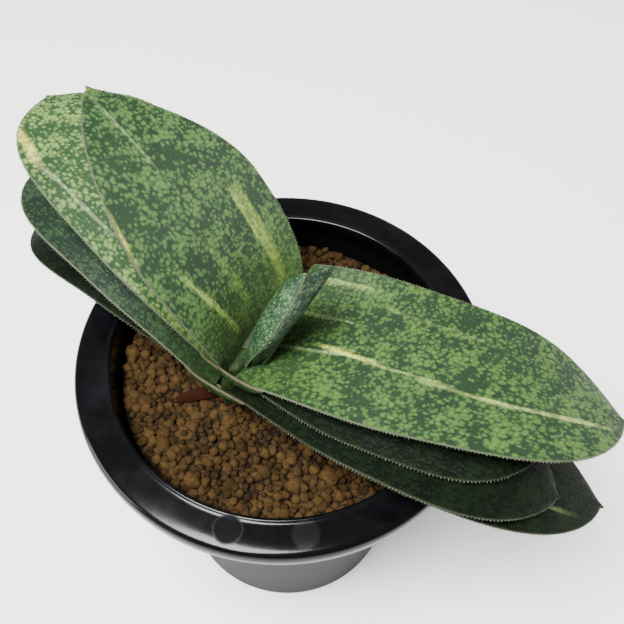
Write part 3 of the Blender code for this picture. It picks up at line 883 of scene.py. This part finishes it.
def leaf_skin(name, skin, streaks=()):
    """Living skin under a waxy cuticle: dark ground, raised pale dots, satin to the eye."""
    material, tree, shader = new_material(name, IOR=1.4, Specular_IOR_Level=skin.gloss)
    place = add(tree, "ShaderNodeAttribute", attribute_name="place").outputs["Vector"]
    edge = add(tree, "ShaderNodeAttribute", attribute_name="edge").outputs["Fac"]
    split = add(tree, "ShaderNodeSeparateXYZ", {0: place})
    across, along, upper = split.outputs
    dots, middles = raised_dots(tree, place, skin.spacing, skin.stretch)
    shade = add(tree, "ShaderNodeTexNoise", {"Vector": place, "Scale": 0.09, "Detail": 2.0})
    ground = add(tree, "ShaderNodeMix",
                 {0: shade.outputs["Fac"], 6: linear(skin.dark), 7: linear(skin.ground)},
                 data_type="RGBA")
    pale = add(tree, "ShaderNodeMix",
               {0: middles, 6: linear(skin.dot), 7: linear(skin.dot_middle)},
               data_type="RGBA")
    lower_skin = add(tree, "ShaderNodeMapRange",
                     {0: upper, 3: skin.lower_dots, 4: skin.upper_dots})
    showing = add(tree, "ShaderNodeMath", {0: dots, 1: lower_skin.outputs[0]},
                  operation="MULTIPLY")
    colour = add(tree, "ShaderNodeMix",
                 {0: showing.outputs[0], 6: ground.outputs[2], 7: pale.outputs[2]},
                 data_type="RGBA")
    fibres_place = add(tree, "ShaderNodeVectorMath", {0: place, 1: (1.0, 0.07, 1.0)},
                       operation="MULTIPLY")
    fibres = add(tree, "ShaderNodeTexNoise",
                 {"Vector": fibres_place.outputs[0], "Scale": 0.8, "Detail": 4.0})
    tint = add(tree, "ShaderNodeMapRange",
               {0: along, 1: skin.tint_reach, 2: 2.0, 3: 0.0, 4: 1.0},
               interpolation_type="SMOOTHSTEP")
    patchy = add(tree, "ShaderNodeMapRange",
                 {0: fibres.outputs["Fac"], 1: 0.3, 2: 0.7, 3: 0.35, 4: 1.0})
    tinted = add(tree, "ShaderNodeMath", {0: tint.outputs[0], 1: patchy.outputs[0]},
                 operation="MULTIPLY")
    tinted = add(tree, "ShaderNodeMath", {0: tinted.outputs[0], 1: skin.tint_strength},
                 operation="MULTIPLY")
    colour = add(tree, "ShaderNodeMix",
                 {0: tinted.outputs[0], 6: colour.outputs[2], 7: linear(skin.foot_tint)},
                 data_type="RGBA")
    fray = add(tree, "ShaderNodeMath", {0: fibres.outputs["Fac"], 1: 3.0, 2: -1.5},
               operation="MULTIPLY_ADD").outputs[0]
    patches = add(tree, "ShaderNodeMapRange", {0: dots, 3: 0.5, 4: 1.0}).outputs[0]
    for streak in streaks:
        mask = streak_mask(tree, across, along, streak, fray, patches)
        colour = add(tree, "ShaderNodeMix",
                     {0: mask, 6: colour.outputs[2], 7: linear(streak.colour)},
                     data_type="RGBA")
    horn = add(tree, "ShaderNodeMapRange",
               {0: edge, 1: skin.margin_width, 2: 0.25 * skin.margin_width},
               interpolation_type="SMOOTHSTEP")
    worn = add(tree, "ShaderNodeTexNoise", {"Vector": place, "Scale": 0.22, "Detail": 3.0})
    horny = add(tree, "ShaderNodeMix",
                {0: worn.outputs["Fac"], 6: linear(skin.margin), 7: linear(skin.margin_worn)},
                data_type="RGBA")
    colour = add(tree, "ShaderNodeMix",
                 {0: horn.outputs[0], 6: colour.outputs[2], 7: horny.outputs[2]},
                 data_type="RGBA")
    tree.links.new(colour.outputs[2], shader.inputs["Base Color"])
    grain = add(tree, "ShaderNodeTexNoise", {"Vector": place, "Scale": 2.6, "Detail": 3.0})
    rough = add(tree, "ShaderNodeMapRange",
                {0: grain.outputs["Fac"], 1: 0.3, 2: 0.7, 3: 0.40, 4: 0.58})
    tree.links.new(rough.outputs[0], shader.inputs["Roughness"])
    relief = add(tree, "ShaderNodeMath", {0: dots, 1: 0.6, 2: grain.outputs["Fac"]},
                 operation="MULTIPLY_ADD")
    relief = add(tree, "ShaderNodeMath", {0: fibres.outputs["Fac"], 1: 0.8,
                                          2: relief.outputs[0]}, operation="MULTIPLY_ADD")
    bump = add(tree, "ShaderNodeBump",
               {"Strength": 0.7, "Distance": 0.15 * MM, "Height": relief.outputs[0]})
    tree.links.new(bump.outputs["Normal"], shader.inputs["Normal"])
    return material


def margin_horn():
    """Dry horn of the margin's teeth: greyish green and dull."""
    material, tree, shader = new_material("margin_horn", Roughness=0.6)
    place = add(tree, "ShaderNodeTexCoord").outputs["Object"]
    worn = add(tree, "ShaderNodeTexNoise", {"Vector": place, "Scale": 120.0, "Detail": 2.0})
    colour = add(tree, "ShaderNodeMix",
                 {0: worn.outputs["Fac"], 6: linear("262c1f"), 7: linear("434a36")},
                 data_type="RGBA")
    tree.links.new(colour.outputs[2], shader.inputs["Base Color"])
    return material


def baked_clay(name, dark, light, toned):
    """Baked clay granules: porous, chalky and wholly matt."""
    material, tree, shader = new_material(name, Roughness=0.95, Specular_IOR_Level=0.1)
    place = add(tree, "ShaderNodeTexCoord").outputs["Object"]
    pores = add(tree, "ShaderNodeTexNoise", {"Vector": place, "Scale": 1400.0, "Detail": 4.0})
    patches = add(tree, "ShaderNodeTexNoise", {"Vector": place, "Scale": 260.0, "Detail": 2.0})
    tone = patches.outputs["Fac"]
    if toned:
        own = add(tree, "ShaderNodeAttribute", attribute_name="tone").outputs["Fac"]
        tone = add(tree, "ShaderNodeMath", {0: own, 1: 0.65, 2: patches.outputs["Fac"]},
                   operation="MULTIPLY_ADD").outputs[0]
        tone = add(tree, "ShaderNodeMath", {0: tone, 1: 0.3}, operation="SUBTRACT").outputs[0]
    colour = add(tree, "ShaderNodeMix", {0: tone, 6: linear(dark), 7: linear(light)},
                 data_type="RGBA")
    speck = add(tree, "ShaderNodeMapRange",
                {0: pores.outputs["Fac"], 1: 0.35, 2: 0.6, 3: 0.72, 4: 1.08})
    colour = add(tree, "ShaderNodeMix", {0: 1.0, 6: colour.outputs[2], 7: speck.outputs[0]},
                 data_type="RGBA", blend_type="MULTIPLY")
    tree.links.new(colour.outputs[2], shader.inputs["Base Color"])
    bump = add(tree, "ShaderNodeBump",
               {"Strength": 0.8, "Distance": 0.25 * MM, "Height": pores.outputs["Fac"]})
    tree.links.new(bump.outputs["Normal"], shader.inputs["Normal"])
    return material


def pot_plastic():
    """Injection-moulded polypropylene: a glossy, dusty, water-marked rim over a dull wall."""
    material, tree, shader = new_material("moulded_polypropylene", IOR=1.45)
    rim_top = (POT_HEIGHT - RIM_DROP) * MM
    drift = STAIN_WAVE / 2 * MM
    place = add(tree, "ShaderNodeTexCoord").outputs["Object"]
    split = add(tree, "ShaderNodeSeparateXYZ", {0: place})
    haze = add(tree, "ShaderNodeTexNoise", {"Vector": place, "Scale": 45.0, "Detail": 6.0,
                                            "Roughness": 0.65})
    high = add(tree, "ShaderNodeMapRange",
               {0: split.outputs["Z"], 1: (POT_HEIGHT - 2.5) * MM, 2: rim_top})
    dust = add(tree, "ShaderNodeMapRange",
               {0: haze.outputs["Fac"], 1: 0.42, 2: 0.78, 3: 0.05, 4: 0.65})
    dusty = add(tree, "ShaderNodeMath", {0: dust.outputs[0], 1: high.outputs[0]},
                operation="MULTIPLY")
    colour = add(tree, "ShaderNodeMix",
                 {0: dusty.outputs[0], 6: linear("030304"), 7: linear("121416")},
                 data_type="RGBA")
    tree.links.new(colour.outputs[2], shader.inputs["Base Color"])
    rough = add(tree, "ShaderNodeMapRange", {0: dusty.outputs[0], 3: 0.13, 4: 0.38})
    wall_top = (POT_HEIGHT - SKIRT_DROP) * MM
    wall = add(tree, "ShaderNodeMapRange",
               {0: split.outputs["Z"], 1: wall_top + 3 * MM, 2: wall_top, 3: 0.0, 4: 0.62})
    rough = add(tree, "ShaderNodeMath", {0: rough.outputs[0], 1: wall.outputs[0]},
                operation="MAXIMUM")
    wavy = add(tree, "ShaderNodeVectorMath", {0: haze.outputs["Color"],
                                                 "Scale": STAIN_WAVE * MM},
               operation="SCALE")
    bent = add(tree, "ShaderNodeVectorMath", {0: place, 1: wavy.outputs[0]})
    stained = 0.0
    for (east, north), radius, dullness in WATER_STAINS:
        spot = (east * MM + drift, north * MM + drift, rim_top + drift)
        away = add(tree, "ShaderNodeVectorMath", {0: bent.outputs[0], 1: spot},
                   operation="DISTANCE")
        disc = add(tree, "ShaderNodeMapRange",
                   {0: away.outputs["Value"], 1: radius * MM, 2: (radius - STAIN_EDGE) * MM, 3: 0.0,
                    4: dullness})
        stained = add(tree, "ShaderNodeMath", {0: disc.outputs[0], 1: stained},
                      operation="MAXIMUM").outputs[0]
    dull = add(tree, "ShaderNodeMix", {0: stained, 2: rough.outputs[0], 3: 0.6})
    tree.links.new(dull.outputs[0], shader.inputs["Roughness"])
    sheen = add(tree, "ShaderNodeMapRange",
                {0: split.outputs["Z"], 1: (POT_HEIGHT - 3.4) * MM, 2: (POT_HEIGHT - 2.2) * MM,
                 3: 0.09, 4: 0.18})
    gloss = add(tree, "ShaderNodeMix", {0: stained, 2: sheen.outputs[0], 3: 0.03})
    tree.links.new(gloss.outputs[0], shader.inputs["Specular IOR Level"])
    skin = add(tree, "ShaderNodeTexNoise", {"Vector": place, "Scale": 900.0, "Detail": 2.0})
    bump = add(tree, "ShaderNodeBump",
               {"Strength": 0.12, "Distance": 0.05 * MM, "Height": skin.outputs["Fac"]})
    tree.links.new(bump.outputs["Normal"], shader.inputs["Normal"])
    return material


def stem_bark():
    """Corky foot of the stem: fibrous and dull, its green darkened with painted shade for the gap
    between the blades' feet.
    """
    material, tree, shader = new_material("corky_stem", Roughness=0.8)
    place = add(tree, "ShaderNodeTexCoord").outputs["Object"]
    drawn = add(tree, "ShaderNodeMapping", {"Vector": place, "Scale": (1.0, 1.0, 0.15)})
    fibres = add(tree, "ShaderNodeTexNoise",
                 {"Vector": drawn.outputs["Vector"], "Scale": 900.0, "Detail": 4.0})
    # Dark green: the stem's green darkened with painted shade
    colour = add(tree, "ShaderNodeMix",
                 {0: fibres.outputs["Fac"], 6: linear("141d0d"), 7: linear("27331a")},
                 data_type="RGBA")
    tree.links.new(colour.outputs[2], shader.inputs["Base Color"])
    bump = add(tree, "ShaderNodeBump",
               {"Strength": 0.6, "Distance": 0.2 * MM, "Height": fibres.outputs["Fac"]})
    tree.links.new(bump.outputs["Normal"], shader.inputs["Normal"])
    return material


def dry_sheath():
    """Dried leaf tissue: papery, reddish brown, with fibres along it."""
    material, tree, shader = new_material("dry_leaf_sheath", Roughness=0.8,
                                          Specular_IOR_Level=0.05)
    place = add(tree, "ShaderNodeAttribute", attribute_name="place").outputs["Vector"]
    drawn = add(tree, "ShaderNodeVectorMath", {0: place, 1: (1.0, 0.12, 1.0)},
                operation="MULTIPLY")
    fibres = add(tree, "ShaderNodeTexNoise",
                 {"Vector": drawn.outputs[0], "Scale": 2.4, "Detail": 4.0})
    colour = add(tree, "ShaderNodeMix",
                 {0: fibres.outputs["Fac"], 6: linear("0d0502"), 7: linear("2b1206")},
                 data_type="RGBA")
    tree.links.new(colour.outputs[2], shader.inputs["Base Color"])
    bump = add(tree, "ShaderNodeBump",
               {"Strength": 0.8, "Distance": 0.2 * MM, "Height": fibres.outputs["Fac"]})
    tree.links.new(bump.outputs["Normal"], shader.inputs["Normal"])
    return material


# Stage


def make_floor():
    """A plain pale floor."""
    bm = bmesh.new()
    bmesh.ops.create_grid(bm, x_segments=1, y_segments=1, size=FLOOR_SPAN / 2 * MM)
    mesh = bpy.data.meshes.new("floor")
    bm.to_mesh(mesh)
    bm.free()
    floor = bpy.data.objects.new("floor", mesh)
    bpy.context.collection.objects.link(floor)
    material, _, _ = new_material("painted_board", Base_Color=linear("fcfbf9"), Roughness=0.6)
    mesh.materials.append(material)


def make_light(name, place, size, watts):
    """One square soft light that faces the plant."""
    lamp = bpy.data.lights.new(name, "AREA")
    lamp.size = size * MM
    lamp.energy = watts
    item = bpy.data.objects.new(name, lamp)
    item.location = Vector(place) * MM
    item.rotation_euler = (Vector(LIGHT_TARGET) - Vector(place)).to_track_quat("-Z", "Y").to_euler()
    bpy.context.collection.objects.link(item)


def make_camera():
    """The camera, where the photograph was taken from."""
    camera = bpy.data.objects.new("camera", bpy.data.cameras.new("camera"))
    camera.data.lens = CAMERA_LENS
    camera.data.sensor_width = SENSOR_WIDTH
    camera.data.clip_start = NEAREST_SEEN * MM
    turn = Matrix.Rotation(math.radians(CAMERA_TILT), 4, "X")
    turn @= Matrix.Rotation(math.radians(CAMERA_ROLL), 4, "Z")
    camera.matrix_world = Matrix.Translation(Vector(CAMERA_PLACE) * MM) @ turn
    bpy.context.collection.objects.link(camera)
    bpy.context.scene.camera = camera


def make_world():
    """An even pale surround."""
    world = bpy.data.worlds.new("surround")
    world.use_nodes = True
    background = world.node_tree.nodes["Background"]
    background.inputs["Color"].default_value = linear("f2f4f6")
    background.inputs["Strength"].default_value = SURROUND
    bpy.context.scene.world = world


def main():
    """Dress the potted plant and set the stage."""
    make_camera()
    make_floor()
    make_world()
    for light in LIGHTS:
        make_light(*light)
    make_pot(pot_plastic())
    clay = baked_clay("baked_clay_granules", "150e06", "3f2e16", True)
    # The bed under the granules is near-black: painted shade in the gaps between them
    bed = baked_clay("baked_clay_bed_painted_shade", "0b0603", "171008", False)
    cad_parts["soil"].data.materials.clear()
    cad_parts["soil"].data.materials.append(bed)
    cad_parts["stem"].data.materials.clear()
    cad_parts["stem"].data.materials.append(stem_bark())
    granules = granule_tree()
    make_granules("soil_granules", granules, clay, Grade(1.58, 1.15, 1.7, -0.4), 3)
    make_granules("soil_top_granules", granules, clay, Grade(2.15, 0.95, 1.65, 0.9, 8.5), 21)
    make_granules("soil_lumps", granules, clay, Grade(8.5, 1.6, 2.6, 0.7, 12.0), 8)
    teeth = teeth_tree()
    horn = margin_horn()
    for number, (name, blade) in enumerate(BLADES.items()):
        skin = leaf_skin(name + "_skin", SKINS[name], STREAKS.get(name, ()))
        make_blade(name, blade, skin)
        make_teeth(name, blade, teeth, horn, number)
    clasping = leaf_skin("sheath_skin", SHEATH)
    for number in (1, 2, 3, 4):
        make_sheath(number, clasping)
    make_clasp(clasping)
    for name, blade in YOUNG_BLADES.items():
        make_blade(name, blade, leaf_skin(name + "_skin", SKINS[name]))
    # The fold wears the second young blade's skin, darkened with painted shade
    make_fold(leaf_skin("fold_skin", SKINS["leaf_young_2"]))
    make_blade("dry_leaf", DRY_BLADE, dry_sheath())


main()
